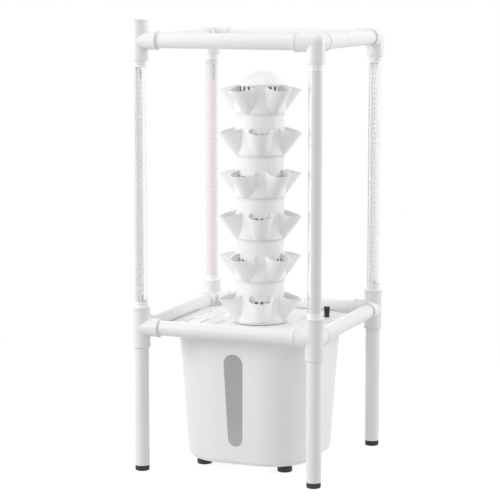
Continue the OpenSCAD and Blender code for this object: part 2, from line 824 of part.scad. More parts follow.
lamp_cover(front_right, aim_front_right);  // lamp_cover_front_right
lamp_cover(back_right, aim_back_right);  // lamp_cover_back_right
lamp_cover(back_left, aim_back_left);  // lamp_cover_back_left
lamp_housing(front_left, aim_front_left);  // lamp_housing_front_left
lamp_housing(front_right, aim_front_right);  // lamp_housing_front_right
lamp_housing(back_right, aim_back_right);  // lamp_housing_back_right
lamp_housing(back_left, aim_back_left);  // lamp_housing_back_left
lamp_board(front_left, aim_front_left);  // lamp_board_front_left
lamp_board(front_right, aim_front_right);  // lamp_board_front_right
lamp_board(back_right, aim_back_right);  // lamp_board_back_right
lamp_board(back_left, aim_back_left);  // lamp_board_back_left
lamp_caps(front_left, aim_front_left);  // lamp_caps_front_left
lamp_caps(front_right, aim_front_right);  // lamp_caps_front_right
lamp_caps(back_right, aim_back_right);  // lamp_caps_back_right
lamp_caps(back_left, aim_back_left);  // lamp_caps_back_left
tank_body();
sight_window();
tank_feet();
tank_lid();
filling_bung();
pump_housing();
pump_intake_cover();
pump_impeller();
riser_pipe();
water_spreader();
planting_layer(1);  // planting_layer_1
planting_layer(2);  // planting_layer_2
planting_layer(3);  // planting_layer_3
planting_layer(4);  // planting_layer_4
planting_layer(5);  // planting_layer_5
planting_layer(6);  // planting_layer_6
dome_cap();
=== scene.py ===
"""Finish, lamp chips and studio for a hydroponic growing tower.

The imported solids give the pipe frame, the lamp tubes, the water tank and the stack of planting
layers. This script gives each of them its finish, models the chips and the drive parts inside the
lamp tubes, and sets the floor, the soft boxes and the camera. Lengths are metres and angles are
degrees.
"""

import logging
import math
from collections.abc import Callable
from dataclasses import dataclass, replace
from enum import Enum, auto

import bmesh
import bpy
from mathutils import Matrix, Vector

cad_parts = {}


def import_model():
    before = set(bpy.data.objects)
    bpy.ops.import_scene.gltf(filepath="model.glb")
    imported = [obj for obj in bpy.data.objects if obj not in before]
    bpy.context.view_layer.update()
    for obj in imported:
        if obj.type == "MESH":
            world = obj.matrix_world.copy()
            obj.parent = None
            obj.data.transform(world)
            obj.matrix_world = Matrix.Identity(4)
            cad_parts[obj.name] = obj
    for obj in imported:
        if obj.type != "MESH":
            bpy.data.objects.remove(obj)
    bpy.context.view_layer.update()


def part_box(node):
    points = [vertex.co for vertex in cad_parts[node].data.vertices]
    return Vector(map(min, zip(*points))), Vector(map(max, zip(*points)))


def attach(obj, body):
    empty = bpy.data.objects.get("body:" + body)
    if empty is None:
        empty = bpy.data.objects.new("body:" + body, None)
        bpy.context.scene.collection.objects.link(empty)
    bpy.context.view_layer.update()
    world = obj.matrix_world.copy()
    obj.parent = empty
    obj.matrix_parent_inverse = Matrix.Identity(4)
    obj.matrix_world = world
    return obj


LOG = logging.getLogger("growing_tower")
MM = 0.001
WHITE = (1.0, 1.0, 1.0)

Rgb = tuple[float, float, float]
Span = tuple[float, float]
SocketValue = bpy.types.NodeSocket | float | int | tuple | Vector


class Run(Enum):
    """Direction in which a pipe was drawn, as the stretch of its streaks."""

    ALONG_X = (1.0, 40.0, 40.0)
    ALONG_Y = (40.0, 1.0, 40.0)
    ALONG_Z = (40.0, 40.0, 1.0)


class Corner(Enum):
    """A corner of the frame."""

    FRONT_LEFT = auto()
    FRONT_RIGHT = auto()
    BACK_RIGHT = auto()
    BACK_LEFT = auto()

    @property
    def label(self) -> str:
        """The corner's words in the names of the nodes."""
        return self.name.lower()


class Graph:
    """A shader node tree with short calls that add and join its nodes."""

    MIX_FIRST_COLOR = 6
    MIX_SECOND_COLOR = 7
    MIX_COLOR_OUT = 2

    def __init__(self, tree: bpy.types.NodeTree) -> None:
        """Keeps the tree and empties it."""
        self.tree = tree
        self.tree.nodes.clear()

    def add(
        self, kind: str, inputs: dict[str | int, SocketValue] | None = None, **settings: object
    ) -> bpy.types.Node:
        """Adds one node.

        Args:
            kind: Blender's name of the node type after the words ShaderNode.
            inputs: A value or another node's output for each input, by name or place.
            settings: The node's own settings, such as its operation.

        Returns:
            The new node.
        """
        node = self.tree.nodes.new("ShaderNode" + kind)
        for key, value in settings.items():
            setattr(node, key, value)
        for key, value in (inputs or {}).items():
            if isinstance(value, bpy.types.NodeSocket):
                self.tree.links.new(value, node.inputs[key])
            else:
                node.inputs[key].default_value = value
        return node

    def group(
        self, tree: bpy.types.NodeTree, inputs: dict[str | int, SocketValue]
    ) -> bpy.types.NodeOutputs:
        """Places a shared group.

        Args:
            tree: The group's node tree.
            inputs: A value or another node's output for each of its inputs.

        Returns:
            The outputs of the placed group.
        """
        return self.add("Group", inputs, node_tree=tree).outputs

    def math(
        self, operation: str, first: SocketValue, second: SocketValue
    ) -> bpy.types.NodeSocket:
        """Joins two values by one sum.

        Args:
            operation: Blender's name of the sum.
            first: A value or an output.
            second: A value or an output.

        Returns:
            The output with the result.
        """
        return self.add("Math", {0: first, 1: second}, operation=operation).outputs[0]

    def blend(
        self, share: SocketValue, first: SocketValue, second: SocketValue
    ) -> bpy.types.NodeSocket:
        """Blends two colours.

        Args:
            share: How much of the second colour shows, from 0 to 1.
            first: A colour or an output.
            second: A colour or an output.

        Returns:
            The output with the blended colour.
        """
        inputs = {0: share, self.MIX_FIRST_COLOR: first, self.MIX_SECOND_COLOR: second}
        return self.add("Mix", inputs, data_type="RGBA").outputs[self.MIX_COLOR_OUT]

    def mask(
        self, value: bpy.types.NodeSocket, span: Span, smooth: bool = False
    ) -> bpy.types.NodeSocket:
        """Makes a mask of a value.

        Args:
            value: The value's output.
            span: The values at which the mask is 0 and 1.
            smooth: Whether the mask eases in and out.

        Returns:
            The output with the mask.
        """
        inputs = {"Value": value, "From Min": span[0], "From Max": span[1]}
        kind = "SMOOTHSTEP" if smooth else "LINEAR"
        return self.add("MapRange", inputs, interpolation_type=kind).outputs[0]

    def spread(self, value: bpy.types.NodeSocket, low: float, high: float) -> bpy.types.NodeSocket:
        """Spreads a mask from 0 to 1 over another span.

        Args:
            value: The mask's output.
            low: The result where the mask is 0.
            high: The result where the mask is 1.

        Returns:
            The output with the spread value.
        """
        inputs = {"Value": value, "To Min": low, "To Max": high}
        return self.add("MapRange", inputs).outputs[0]


def rgba(color: Rgb) -> tuple[float, float, float, float]:
    """A colour with a full fourth value, as sockets want it."""
    return (*color, 1.0)


def new_material(name: str) -> tuple[bpy.types.Material, Graph]:
    """Makes an empty material.

    Args:
        name: The material's name.

    Returns:
        The material and the graph of its nodes.
    """
    material = bpy.data.materials.new(name)
    material.use_nodes = True
    return material, Graph(material.node_tree)


@dataclass
class Effects:
    """The surface effects that several finishes share, each a node group built once."""

    fine_detail: float = 3.0
    slow_detail: float = 2.0
    plain_detail: float = 1.0
    ripple_scale: float = 0.06
    speck_scale: float = 90.0
    drift_span: Span = (0.35, 0.7)
    speck_span: Span = (0.62, 0.8)
    streak_span: Span = (0.3, 0.7)
    edge_span: Span = (0.98, 0.75)
    edge_samples: int = 4

    def __post_init__(self) -> None:
        """Builds all the groups."""
        self.grain = self._build_grain()
        self.tone = self._build_tone()
        self.streaks = self._build_streaks()
        self.edges = self._build_edges()

    @staticmethod
    def _open(
        name: str, inputs: dict[str, str], outputs: dict[str, str]
    ) -> tuple[Graph, bpy.types.NodeOutputs, Callable[[str, bpy.types.NodeSocket], None]]:
        """Opens a new group.

        Args:
            name: The group's name.
            inputs: The kind of each input socket.
            outputs: The kind of each output socket.

        Returns:
            The group's graph, its inputs as outputs of the first node, and a call that fills
            an output.
        """
        tree = bpy.data.node_groups.new(name, "ShaderNodeTree")
        graph = Graph(tree)
        for label, kind in inputs.items():
            tree.interface.new_socket(label, in_out="INPUT", socket_type="NodeSocket" + kind)
        for label, kind in outputs.items():
            tree.interface.new_socket(label, in_out="OUTPUT", socket_type="NodeSocket" + kind)
        start = tree.nodes.new("NodeGroupInput")
        end = tree.nodes.new("NodeGroupOutput")

        def fill(label: str, value: bpy.types.NodeSocket) -> None:
            """Joins a value to an output of the group."""
            tree.links.new(value, end.inputs[label])

        return graph, start.outputs, fill

    @staticmethod
    def _noise(
        graph: Graph, place: bpy.types.NodeSocket, scale: bpy.types.NodeSocket, detail: float
    ) -> bpy.types.NodeSocket:
        """Adds a noise.

        Args:
            graph: The group's graph.
            place: The place on the object.
            scale: How often the noise repeats in a metre.
            detail: How many finer noises lie over it.

        Returns:
            The output with the noise.
        """
        inputs = {"Vector": place, "Scale": scale, "Detail": detail}
        return graph.add("TexNoise", inputs).outputs[0]

    def _build_grain(self) -> bpy.types.NodeTree:
        """A moulded surface: fine grain over a slow ripple.

        Returns:
            The group, with a mask and a height.
        """
        graph, given, fill = self._open(
            "moulded_grain",
            {"Vector": "Vector", "Per Metre": "Float", "Ripple": "Float"},
            {"Mask": "Float", "Height": "Float"},
        )
        fine = self._noise(graph, given["Vector"], given["Per Metre"], self.fine_detail)
        slow_scale = graph.math("MULTIPLY", given["Per Metre"], self.ripple_scale)
        slow = self._noise(graph, given["Vector"], slow_scale, self.plain_detail)
        ripple = graph.math("MULTIPLY", slow, given["Ripple"])
        fill("Mask", fine)
        fill("Height", graph.math("ADD", fine, ripple))
        return graph.tree

    def _build_tone(self) -> bpy.types.NodeTree:
        """A slow drift of the colour, with faint specks in it.

        Returns:
            The group, with the colour.
        """
        inputs = {"Vector": "Vector", "Color": "Color", "Shade": "Color"}
        inputs |= {"Per Metre": "Float", "Drift": "Float"}
        graph, given, fill = self._open("tone_drift", inputs, {"Color": "Color"})
        slow = self._noise(graph, given["Vector"], given["Per Metre"], self.slow_detail)
        speck_scale = graph.math("MULTIPLY", given["Per Metre"], self.speck_scale)
        speck = self._noise(graph, given["Vector"], speck_scale, self.plain_detail)
        slow_mask = graph.mask(slow, self.drift_span)
        both = graph.math("MAXIMUM", slow_mask, graph.mask(speck, self.speck_span))
        share = graph.math("MULTIPLY", both, given["Drift"])
        fill("Color", graph.blend(share, given["Color"], given["Shade"]))
        return graph.tree

    def _build_streaks(self) -> bpy.types.NodeTree:
        """Faint lines along a drawn pipe.

        Returns:
            The group, with a mask.
        """
        graph, given, fill = self._open(
            "drawn_streaks",
            {"Vector": "Vector", "Stretch": "Vector", "Per Metre": "Float"},
            {"Mask": "Float"},
        )
        drawn = graph.add(
            "VectorMath", {0: given["Vector"], 1: given["Stretch"]}, operation="MULTIPLY"
        )
        lines = self._noise(graph, drawn.outputs[0], given["Per Metre"], self.slow_detail)
        fill("Mask", graph.mask(lines, self.streak_span))
        return graph.tree

    def _build_edges(self) -> bpy.types.NodeTree:
        """Soft edges: a normal that turns round them, and a mask along them.

        Returns:
            The group, with the normal and the mask.
        """
        graph, given, fill = self._open(
            "soft_edges", {"Radius": "Float"}, {"Normal": "Vector", "Edge": "Float"}
        )
        round_edge = graph.add("Bevel", {"Radius": given["Radius"]}, samples=self.edge_samples)
        true_normal = graph.add("NewGeometry").outputs["True Normal"]
        agree = graph.add(
            "VectorMath", {0: round_edge.outputs[0], 1: true_normal}, operation="DOT_PRODUCT"
        )
        fill("Normal", round_edge.outputs[0])
        fill("Edge", graph.mask(agree.outputs["Value"], self.edge_span))
        return graph.tree


@dataclass(frozen=True)
class PlasticFinish:
    """Moulded or drawn plastic, or rubber: a drifting colour, a grain, and soft edges (painted
    highlight on plastic, wear on rubber).
    """

    name: str
    color: Rgb
    shade: Rgb
    roughness: float
    roughness_span: float = 0.08
    grain_per_m: float = 900.0
    grain_depth: float = 0.04 * MM
    ripple: float = 1.5
    drift_per_m: float = 7.0
    drift: float = 0.6
    edge_radius: float = 0.7 * MM
    edge_wear_and_highlight_color: Rgb = (0.9, 0.9, 0.9)
    edge_share: float = 0.3
    ior: float = 1.49
    run: Run | None = None
    streak_per_m: float = 14.0

    def make(self, effects: Effects) -> bpy.types.Material:
        """Builds the material.

        Args:
            effects: The shared groups.

        Returns:
            The finished material.
        """
        material, graph = new_material(self.name)
        place = graph.add("TexCoord").outputs["Object"]
        grain = graph.group(
            effects.grain, {"Vector": place, "Per Metre": self.grain_per_m, "Ripple": self.ripple}
        )
        edges = graph.group(effects.edges, {"Radius": self.edge_radius})
        color = self._color(graph, effects, place)
        # edges take the edge colour: wear on black rubber and the pump, painted highlight on the
        # white and grey plastics
        edge_wear_and_highlight = graph.math("MULTIPLY", edges["Edge"], self.edge_share)
        mask, height = grain["Mask"], grain["Height"]
        if self.run is not None:
            streaks = graph.group(
                effects.streaks,
                {"Vector": place, "Stretch": self.run.value, "Per Metre": self.streak_per_m},
            )
            mask = graph.math("MULTIPLY", mask, streaks["Mask"])
            height = graph.math("ADD", height, streaks["Mask"])
        low = self.roughness - self.roughness_span
        high = self.roughness + self.roughness_span
        bump = graph.add(
            "Bump", {"Height": height, "Normal": edges["Normal"], "Distance": self.grain_depth}
        )
        shader = graph.add(
            "BsdfPrincipled",
            {
                "Base Color": graph.blend(edge_wear_and_highlight, color, rgba(self.edge_wear_and_highlight_color)),
                "Roughness": graph.spread(mask, low, high),
                "IOR": self.ior,
                "Normal": bump.outputs[0],
            },
        )
        self._finish_shader(shader)
        graph.add("OutputMaterial", {"Surface": shader.outputs[0]})
        return material

    def _color(
        self, graph: Graph, effects: Effects, place: bpy.types.NodeSocket
    ) -> bpy.types.NodeSocket:
        """The drifting colour.

        Args:
            graph: The material's graph.
            effects: The shared groups.
            place: The place on the object.

        Returns:
            The colour's output.
        """
        drift = {"Vector": place, "Color": rgba(self.color), "Shade": rgba(self.shade)}
        drift |= {"Per Metre": self.drift_per_m, "Drift": self.drift}
        return graph.group(effects.tone, drift)["Color"]

    def _finish_shader(self, shader: bpy.types.Node) -> None:
        """Leaves the shader as it is; other finishes set more of it here."""


@dataclass(frozen=True)
class WindowFinish(PlasticFinish):
    """Smoky see-through plastic, a little lighter towards the foot of the window."""

    foot_color: Rgb = (0.49, 0.495, 0.5)
    foot_to_head_z: Span = (0.06, 0.14)
    alpha: float = 0.94

    def _color(
        self, graph: Graph, effects: Effects, place: bpy.types.NodeSocket
    ) -> bpy.types.NodeSocket:
        """The drifting colour, blended towards the foot colour.

        Args:
            graph: The material's graph.
            effects: The shared groups.
            place: The place on the object.

        Returns:
            The colour's output.
        """
        even = super()._color(graph, effects, place)
        height = graph.add("SeparateXYZ", {0: place}).outputs["Z"]
        rise = graph.mask(height, self.foot_to_head_z, smooth=True)
        return graph.blend(rise, rgba(self.foot_color), even)

    def _finish_shader(self, shader: bpy.types.Node) -> None:
        """Lets a little of the tank's inside show."""
        shader.inputs["Alpha"].default_value = self.alpha


@dataclass(frozen=True)
class LayerFinish(PlasticFinish):
    """White layer plastic, with a painted shadow under the seam where each layer's flare meets its
    barrel.
    """

    seam_z: float = 0.0
    seam_pitch: float = 1.0
    seam_shadow_fade: float = 9.0 * MM
    seam_shadow_color: Rgb = (0.75, 0.75, 0.755)

    def _color(
        self, graph: Graph, effects: Effects, place: bpy.types.NodeSocket
    ) -> bpy.types.NodeSocket:
        """The drifting colour, with a painted shadow for a short way below each seam.

        Args:
            graph: The material's graph.
            effects: The shared groups.
            place: The place on the object.

        Returns:
            The colour's output.
        """
        even = super()._color(graph, effects, place)
        height = graph.add("SeparateXYZ", {0: place}).outputs["Z"]
        # painted shadow: the colour darkens below each seam, where the flare's overhang would cast
        # a shadow on the barrel
        below = graph.math("SUBTRACT", self.seam_z, height)
        drop = graph.math("FLOORED_MODULO", below, self.seam_pitch)
        shade = graph.mask(drop, (self.seam_shadow_fade, 0.0))
        return graph.blend(shade, even, rgba(self.seam_shadow_color))


@dataclass(frozen=True)
class LampBackFinish(PlasticFinish):
    """The back of a lamp's tube, darkened outside as painted shade; its flat inside under the board
    is a white reflector, also lightened as painted light.
    """

    aim: float = 0.0
    inside_color: Rgb = (0.97, 0.97, 0.975)
    inside_span: Span = (0.6, 0.9)

    def _color(
        self, graph: Graph, effects: Effects, place: bpy.types.NodeSocket
    ) -> bpy.types.NodeSocket:
        """The drifting colour, and where the surface faces the aim the reflector's lighter colour,
        which also holds painted light.

        Args:
            graph: The material's graph.
            effects: The shared groups.
            place: The place on the object.

        Returns:
            The colour's output.
        """
        outside = super()._color(graph, effects, place)
        turn = math.radians(self.aim)
        normal = graph.add("TexCoord").outputs["Normal"]
        facing = graph.add(
            "VectorMath",
            {0: normal, 1: (math.cos(turn), math.sin(turn), 0.0)},
            operation="DOT_PRODUCT",
        )
        # painted light: faces turned to the aim take the lighter reflector colour, the others keep
        # the darker painted-shade colour
        inside = graph.mask(facing.outputs["Value"], self.inside_span)
        return graph.blend(inside, outside, rgba(self.inside_color))


@dataclass(frozen=True)
class ClearTubeFinish:
    """Clear drawn plastic that bends and mirrors what is seen through it, and lets light pass."""

    name: str
    color: Rgb
    rim_color: Rgb
    roughness: float
    streak_roughness: float
    ior: float = 1.49
    streak_per_m: float = 30.0
    rim_blend: float = 0.3
    shadow_alpha: float = 0.03

    def make(self, effects: Effects) -> bpy.types.Material:
        """Builds the material.

        Args:
            effects: The shared groups.

        Returns:
            The finished material.
        """
        material, graph = new_material(self.name)
        place = graph.add("TexCoord").outputs["Object"]
        streaks = graph.group(
            effects.streaks,
            {"Vector": place, "Stretch": Run.ALONG_Z.value, "Per Metre": self.streak_per_m},
        )
        rim = graph.add("LayerWeight", {"Blend": self.rim_blend}).outputs["Facing"]
        path = graph.add("LightPath").outputs
        unseen = graph.math("MAXIMUM", path["Is Shadow Ray"], path["Is Diffuse Ray"])
        alpha = graph.add("Mix", {"Factor": unseen, "A": 1.0, "B": self.shadow_alpha})
        shader = graph.add(
            "BsdfPrincipled",
            {
                "Base Color": graph.blend(rim, rgba(self.color), rgba(self.rim_color)),
                "Roughness": graph.spread(
                    streaks["Mask"], self.roughness, self.streak_roughness
                ),
                "Transmission Weight": 1.0,
                "Alpha": alpha.outputs[0],
                "IOR": self.ior,
            },
        )
        graph.add("OutputMaterial", {"Surface": shader.outputs[0]})
        return material


@dataclass(frozen=True)
class BoardFinish:
    """Lacquered lamp board: a plain ground with tracks under the lacquer."""

    name: str
    color: Rgb
    track_color: Rgb
    roughness: float
    track_roughness: float
    tracks_per_m: float = 420.0
    track_jitter: float = 0.6
    track_span: Span = (0.3, 0.42)
    track_share: float = 0.35
    track_depth: float = 0.05 * MM
    drift_per_m: float = 25.0
    drift: float = 0.3

    def make(self, effects: Effects) -> bpy.types.Material:
        """Builds the material.

        Args:
            effects: The shared groups.

        Returns:
            The finished material.
        """
        material, graph = new_material(self.name)
        place = graph.add("TexCoord").outputs["Object"]
        tracks = graph.add(
            "TexVoronoi",
            {"Vector": place, "Scale": self.tracks_per_m, "Randomness": self.track_jitter},
            distance="CHEBYCHEV",
        )
        track_mask = graph.mask(tracks.outputs["Distance"], self.track_span)
        share = graph.math("MULTIPLY", track_mask, self.track_share)
        drift = {"Vector": place, "Color": rgba(self.color), "Shade": rgba(self.track_color)}
        drift |= {"Per Metre": self.drift_per_m, "Drift": self.drift}
        ground = graph.group(effects.tone, drift)["Color"]
        bump = graph.add("Bump", {"Height": track_mask, "Distance": self.track_depth})
        shader = graph.add(
            "BsdfPrincipled",
            {
                "Base Color": graph.blend(share, ground, rgba(self.track_color)),
                "Roughness": graph.spread(track_mask, self.roughness, self.track_roughness),
                "Normal": bump.outputs[0],
            },
        )
        graph.add("OutputMaterial", {"Surface": shader.outputs[0]})
        return material


@dataclass(frozen=True)
class FloorFinish:
    """Pale floor that the camera sees as white, with the object's soft shadow on it."""

    name: str = "studio_floor"
    bounce: float = 0.64
    glow: float = 0.8
    shadow_share: float = 0.3
    fade_span: Span = (0.55, 1.5)

    def make(self) -> bpy.types.Material:
        """Builds the material.

        Returns:
            The finished material.
        """
        material, graph = new_material(self.name)
        place = graph.add("TexCoord").outputs["Object"]
        away = graph.add("VectorMath", {0: place}, operation="LENGTH").outputs["Value"]
        fade = graph.mask(away, self.fade_span, smooth=True)
        ground = graph.add("Emission", {"Color": rgba(WHITE), "Strength": self.bounce})
        shade = tuple(self.shadow_share * value for value in WHITE)
        shadow = graph.add("BsdfDiffuse", {"Color": rgba(shade)})
        near_glow = graph.add("Emission", {"Color": rgba(WHITE), "Strength": self.glow})
        near = graph.add("AddShader", {0: shadow.outputs[0], 1: near_glow.outputs[0]})
        far = graph.add("Emission", {"Color": rgba(WHITE), "Strength": 1.0})
        seen = graph.add("MixShader", {0: fade, 1: near.outputs[0], 2: far.outputs[0]})
        final = graph.add(
            "MixShader", {0: seen_ray(graph), 1: ground.outputs[0], 2: seen.outputs[0]}
        )
        graph.add("OutputMaterial", {"Surface": final.outputs[0]})
        return material


def seen_ray(graph: Graph) -> bpy.types.NodeSocket:
    """A mask of the rays that look at the background.

    Args:
        graph: The graph of the floor or of the world.

    Returns:
        An output that is 1 for camera, glossy and transmission rays.
    """
    path = graph.add("LightPath").outputs
    mirror = graph.math("MAXIMUM", path["Is Camera Ray"], path["Is Glossy Ray"])
    return graph.math("MAXIMUM", mirror, path["Is Transmission Ray"])


PIPE_X = PlasticFinish(
    "pipe_white_x", (0.84, 0.84, 0.845), (0.8, 0.8, 0.81), roughness=0.34, run=Run.ALONG_X
)
PIPE_Y = replace(PIPE_X, name="pipe_white_y", run=Run.ALONG_Y)
PIPE_Z = replace(PIPE_X, name="pipe_white_z", run=Run.ALONG_Z)
FITTING = PlasticFinish("fitting_white", (0.83, 0.83, 0.835), (0.79, 0.79, 0.8), roughness=0.3)
FOOT_RUBBER = PlasticFinish(
    "foot_rubber",
    (0.022, 0.022, 0.023),
    (0.045, 0.045, 0.045),
    roughness=0.6,
    grain_per_m=1600.0,
    grain_depth=0.12 * MM,
    edge_wear_and_highlight_color=(0.12, 0.12, 0.12),
)
TANK = PlasticFinish(
    "tank_white",
    (0.9, 0.9, 0.905),
    (0.86, 0.86, 0.865),
    roughness=0.4,
    grain_per_m=1300.0,
    grain_depth=0.06 * MM,
)
LID = replace(
    TANK,
    name="lid_white",
    color=(0.86, 0.86, 0.865),
    shade=(0.82, 0.82, 0.825),
    roughness=0.42,
)
WINDOW = WindowFinish(
    "window_grey",
    (0.43, 0.435, 0.44),
    (0.45, 0.455, 0.46),
    roughness=0.32,
    edge_wear_and_highlight_color=(0.5, 0.5, 0.5),
)
# the layers' near-white edge colour at a high share is a painted highlight along the pod lips
LAYER = LayerFinish(
    "layer_white",
    (0.9, 0.9, 0.905),
    (0.87, 0.87, 0.875),
    roughness=0.33,
    edge_radius=1.1 * MM,
    edge_wear_and_highlight_color=(0.98, 0.98, 0.98),
    edge_share=0.9,
)
DOME = PlasticFinish("dome_white", (0.9, 0.9, 0.905), (0.87, 0.87, 0.875), roughness=0.33)
# the housing's colour sits below the pipes' white as painted shade on the lamp backs
LAMP_BACK = LampBackFinish(
    "lamp_back", (0.775, 0.775, 0.78), (0.745, 0.745, 0.75), roughness=0.3, run=Run.ALONG_Z
)
LAMP_CAP = PlasticFinish("lamp_cap_white", (0.95, 0.95, 0.955), (0.92, 0.92, 0.925), roughness=0.42)
PUMP = PlasticFinish(
    "pump_black",
    (0.035, 0.035, 0.037),
    (0.05, 0.05, 0.05),
    roughness=0.5,
    edge_wear_and_highlight_color=(0.1, 0.1, 0.1),
)
IMPELLER = PlasticFinish("impeller_grey", (0.62, 0.63, 0.64), (0.56, 0.57, 0.58), roughness=0.4)
RISER = PlasticFinish(
    "riser_white", (0.82, 0.83, 0.84), (0.78, 0.79, 0.8), roughness=0.35, run=Run.ALONG_Z
)
CLEAR_TUBE = ClearTubeFinish(
    "lamp_clear",
    (0.99, 0.995, 0.995),
    (0.95, 0.96, 0.96),
    roughness=0.02,
    streak_roughness=0.04,
)
BOARD = BoardFinish(
    "lamp_board_pink",
    (0.935, 0.855, 0.877),
    (0.88, 0.785, 0.81),
    roughness=0.35,
    track_roughness=0.45,
)
CHIP_BODY = PlasticFinish(
    "chip_body", (0.935, 0.865, 0.885), (0.905, 0.82, 0.845), roughness=0.4, edge_radius=0.15 * MM
)
CHIP_LENS = PlasticFinish(
    "chip_lens", (0.875, 0.73, 0.772), (0.885, 0.755, 0.793), roughness=0.18, edge_radius=0.1 * MM
)
DRIVE_MASK = BoardFinish(
    "drive_board_grey",
    (0.9, 0.9, 0.905),
    (0.8, 0.8, 0.81),
    roughness=0.4,
    track_roughness=0.5,
)
DRIVE_DARK = PlasticFinish(
    "drive_part_dark", (0.4, 0.4, 0.41), (0.46, 0.46, 0.47), roughness=0.45, edge_radius=0.15 * MM
)


def dress(names: list[str], material: bpy.types.Material) -> None:
    """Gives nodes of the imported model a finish.

    Args:
        names: The nodes' names.
        material: Their finish.
    """
    for name in names:
        node = bpy.data.objects[name]
        if not node.material_slots:
            node.data.materials.append(material)
        for slot in node.material_slots:
            slot.material = material
        LOG.info("dressed %s with %s", name, material.name)


def start_fresh() -> None:
    """Leaves edit mode and deselects everything."""
    if bpy.context.object and bpy.context.object.mode != "OBJECT":
        bpy.ops.object.mode_set(mode="OBJECT")
    bpy.ops.object.select_all(action="DESELECT")


def pick(piece: bpy.types.Object) -> None:
    """Makes a piece the only selected one and the active one.

    Args:
        piece: The piece.
    """
    start_fresh()
    piece.select_set(True)
    bpy.context.view_layer.objects.active = piece


def add_block(
    name: str, size: tuple[float, float, float], middle: tuple[float, float, float]
) -> bpy.types.Object:
    """Adds a cube at its size and place, selected and active.

    Args:
        name: The new object's name.
        size: Its lengths along X, Y and Z.
        middle: The place of its middle.

    Returns:
        The new object, with its place in its mesh.
    """
    start_fresh()
    bpy.ops.mesh.primitive_cube_add(size=1.0, location=middle)
    block = bpy.context.object
    block.name = name
    block.scale = size
    bpy.ops.object.transform_apply(location=True, rotation=True, scale=True)
    return block


def select_faces(piece: bpy.types.Object, test: Callable[[bmesh.types.BMFace], bool]) -> None:
    """Selects faces of the piece that is in edit mode.

    Args:
        piece: The piece.
        test: Says of a face whether it is selected.
    """
    bpy.ops.mesh.select_mode(type="FACE")
    bpy.ops.mesh.select_all(action="DESELECT")
    mesh = bmesh.from_edit_mesh(piece.data)
    for face in mesh.faces:
        face.select_set(test(face))
    bmesh.update_edit_mesh(piece.data)


def apply_modifier(piece: bpy.types.Object, kind: str, **settings: object) -> None:
    """Adds a modifier to a piece and applies it.

    Args:
        piece: The piece.
        kind: Blender's name of the modifier's type.
        settings: The modifier's settings.
    """
    pick(piece)
    modifier = piece.modifiers.new(kind.title(), kind)
    for key, value in settings.items():
        setattr(modifier, key, value)
    bpy.ops.object.modifier_apply(modifier=modifier.name)


def soften(piece: bpy.types.Object, width: float) -> None:
    """Breaks the sharp edges of a piece by one facet."""
    apply_modifier(piece, "BEVEL", width=width, segments=1, limit_method="ANGLE")


def join(pieces: list[bpy.types.Object], name: str) -> bpy.types.Object:
    """Joins pieces into one.

    Args:
        pieces: The pieces, of which the first takes in the others.
        name: The joined piece's name.

    Returns:
        The joined piece.
    """
    pick(pieces[0])
    for piece in pieces:
        piece.select_set(True)
    if len(pieces) > 1:
        bpy.ops.object.join()
    pieces[0].name = name
    return pieces[0]


@dataclass
class PipeFrame:
    """The frame: legs on rubber feet, rails, and moulded fittings at the corners."""

    effects: Effects
    rings: tuple[str, ...] = ("lower", "upper")
    open_corner: Corner = Corner.FRONT_LEFT

    def dress(self) -> None:
        """Gives the frame's nodes their finishes."""
        dress([f"leg_{corner.label}" for corner in Corner], PIPE_Z.make(self.effects))
        dress(["leg_feet"], FOOT_RUBBER.make(self.effects))
        for finish, sides in ((PIPE_X, ("front", "back")), (PIPE_Y, ("left", "right"))):
            rails = [f"{ring}_rail_{side}" for ring in self.rings for side in sides]
            dress(rails, finish.make(self.effects))
        fittings = [f"lower_cross_{corner.label}" for corner in Corner]
        for corner in Corner:
            kind = "cross" if corner is self.open_corner else "elbow"
            fittings.append(f"upper_{kind}_{corner.label}")
        dress(fittings, FITTING.make(self.effects))


@dataclass(frozen=True)
class LampFinishes:
    """The materials that all four lamps share."""

    cover: bpy.types.Material
    board: bpy.types.Material
    cap: bpy.types.Material
    chip: bpy.types.Material
    lens: bpy.types.Material
    drive_board: bpy.types.Material
    drive_part: bpy.types.Material

    @classmethod
    def make(cls, effects: Effects) -> "LampFinishes":
        """Builds the materials.

        Args:
            effects: The shared groups.

        Returns:
            The set of materials.
        """
        finishes = (CLEAR_TUBE, BOARD, LAMP_CAP, CHIP_BODY, CHIP_LENS, DRIVE_MASK, DRIVE_DARK)
        return cls(*(finish.make(effects) for finish in finishes))


@dataclass(frozen=True)
class DrivePart:
    """A part on a drive board: its place across the board, its width and its height."""

    across: float
    width: float
    rise: float


